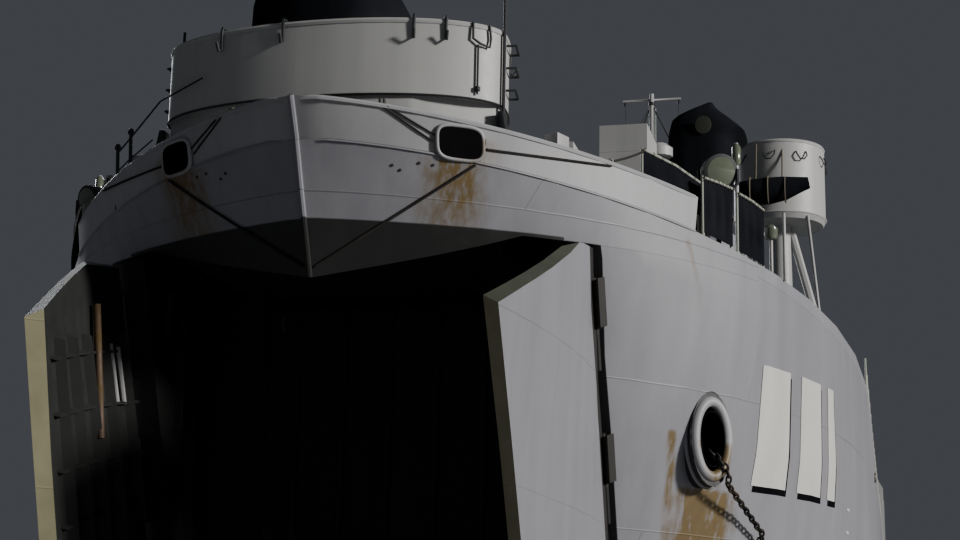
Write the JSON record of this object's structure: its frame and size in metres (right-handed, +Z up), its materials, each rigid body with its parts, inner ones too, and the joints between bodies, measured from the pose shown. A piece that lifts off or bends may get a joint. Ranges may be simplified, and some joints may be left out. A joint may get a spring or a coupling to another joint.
{
  "type": "1:10 scale model of a tank landing ship",
  "caption": "Flat-bottomed landing ship with hinged bow doors, a lowering bow ramp, an open tank deck, deck tubs, a bridge aft and twin screws, as a one-tenth scale model.",
  "frame": {"origin": "on the flat of the keel, on the centreline, half way along the hull", "axes": "+Y towards the stern, +X to port, +Z up"},
  "size_m": [1.524, 10.1119, 2.944],
  "materials": {
    "bottom": "matt bottom paint",
    "bronze": "cast bronze",
    "canvas": "canvas",
    "deck": "matt dark deck paint",
    "hull": "satin grey paint",
    "inside": "satin paint",
    "steel": "bare steel",
    "upper": "satin grey paint"
  },
  "bodies": {
    "hull": {"aft_tub_port": "upper", "aft_tub_starboard": "upper", "boat_deck": "deck", "boat_port": "upper", "boat_starboard": "upper", "bow_anchor": "steel", "bow_anchor_chain": "steel", "bow_beak": "hull", "bow_bulwark": "hull", "bow_mount_cover": "canvas", "bow_tub": "upper", "bridge_house": "upper", "cargo_mast": "upper", "conning_tub": "upper", "davit_port_aft": "upper", "davit_port_fore": "upper", "davit_starboard_aft": "upper", "davit_starboard_fore": "upper", "deckhouse": "upper", "fore_house_port": "upper", "fore_house_starboard": "upper", "fore_locker_port": "upper", "fore_mount_cover_port": "canvas", "fore_mount_cover_starboard": "canvas", "hatch_coaming": "upper", "hawse_port": "steel", "hull_bottom": "bottom", "hull_side_port": "hull", "hull_side_starboard": "hull", "hull_stern": "hull", "main_deck": "deck", "main_mast": "upper", "pilot_house": "upper", "ramp_bulkhead": "inside", "side_tub_port": "upper", "side_tub_starboard": "upper", "stern_anchor": "steel", "stern_mount_cover": "canvas", "stern_tub": "upper", "stern_winch": "steel", "vent_fore_port": "upper", "vent_fore_starboard": "upper", "windlass": "steel"},
    "bow_door_port": {"bow_door_port": "hull"},
    "bow_door_starboard": {"bow_door_starboard": "hull"},
    "bow_ramp": {"bow_ramp": "inside"},
    "hatch_cover_port": {"hatch_cover_port": "deck"},
    "hatch_cover_starboard": {"hatch_cover_starboard": "deck"},
    "cargo_boom": {"cargo_boom": "upper"},
    "radar_aerial": {"radar_aerial": "steel"},
    "propeller_port": {"propeller_port": "bronze"},
    "propeller_starboard": {"propeller_starboard": "bronze"},
    "rudder_port": {"rudder_port": "bottom"},
    "rudder_starboard": {"rudder_starboard": "bottom"}
  },
  "joints": [
    {"name": "bow_door_port_hinge", "type": "hinge", "parent": "hull", "child": "bow_door_port", "pos_m": [0.379, -4.7175, 0.86], "axis": [0, -0.3746, 0.9272], "range_deg": [-57.5, 0]},
    {"name": "bow_door_starboard_hinge", "type": "hinge", "parent": "hull", "child": "bow_door_starboard", "pos_m": [-0.379, -4.7175, 0.86], "axis": [0, 0.3746, -0.9272], "range_deg": [-57.5, 0]},
    {"name": "bow_ramp_hinge", "type": "hinge", "parent": "hull", "child": "bow_ramp", "pos_m": [0, -4.452, 0.357], "axis": [1, 0, 0], "range_deg": [0, 102]},
    {"name": "hatch_cover_port_hinge", "type": "hinge", "parent": "hull", "child": "hatch_cover_port", "pos_m": [0.168, -1.625, 0.823], "axis": [0, 1, 0], "range_deg": [0, 110]},
    {"name": "hatch_cover_starboard_hinge", "type": "hinge", "parent": "hull", "child": "hatch_cover_starboard", "pos_m": [-0.168, -1.625, 0.823], "axis": [0, -1, 0], "range_deg": [0, 110]},
    {"name": "cargo_boom_luff", "type": "hinge", "parent": "hull", "child": "cargo_boom", "pos_m": [0, -1.321, 0.88], "axis": [-1, 0, 0], "range_deg": [0, 70]},
    {"name": "radar_aerial_turn", "type": "hinge", "parent": "hull", "child": "radar_aerial", "pos_m": [0, 2.74, 2.92], "axis": [0, 0, 1], "continuous": true},
    {"name": "propeller_port_spin", "type": "hinge", "parent": "hull", "child": "propeller_port", "pos_m": [0.23, 4.504, 0.112], "axis": [0, 1, 0], "continuous": true},
    {"name": "rudder_port_turn", "type": "hinge", "parent": "hull", "child": "rudder_port", "pos_m": [0.23, 4.6, 0.12], "axis": [0, 0, 1], "range_deg": [-35, 35]},
    {"name": "propeller_starboard_spin", "type": "hinge", "parent": "hull", "child": "propeller_starboard", "pos_m": [-0.23, 4.504, 0.112], "axis": [0, 1, 0], "continuous": true},
    {"name": "rudder_starboard_turn", "type": "hinge", "parent": "hull", "child": "rudder_starboard", "pos_m": [-0.23, 4.6, 0.12], "axis": [0, 0, 1], "range_deg": [-35, 35]}
  ],
  "couplings": [
    {"joint": "rudder_starboard_turn", "follows": "rudder_port_turn", "ratio": 1}
  ]
}
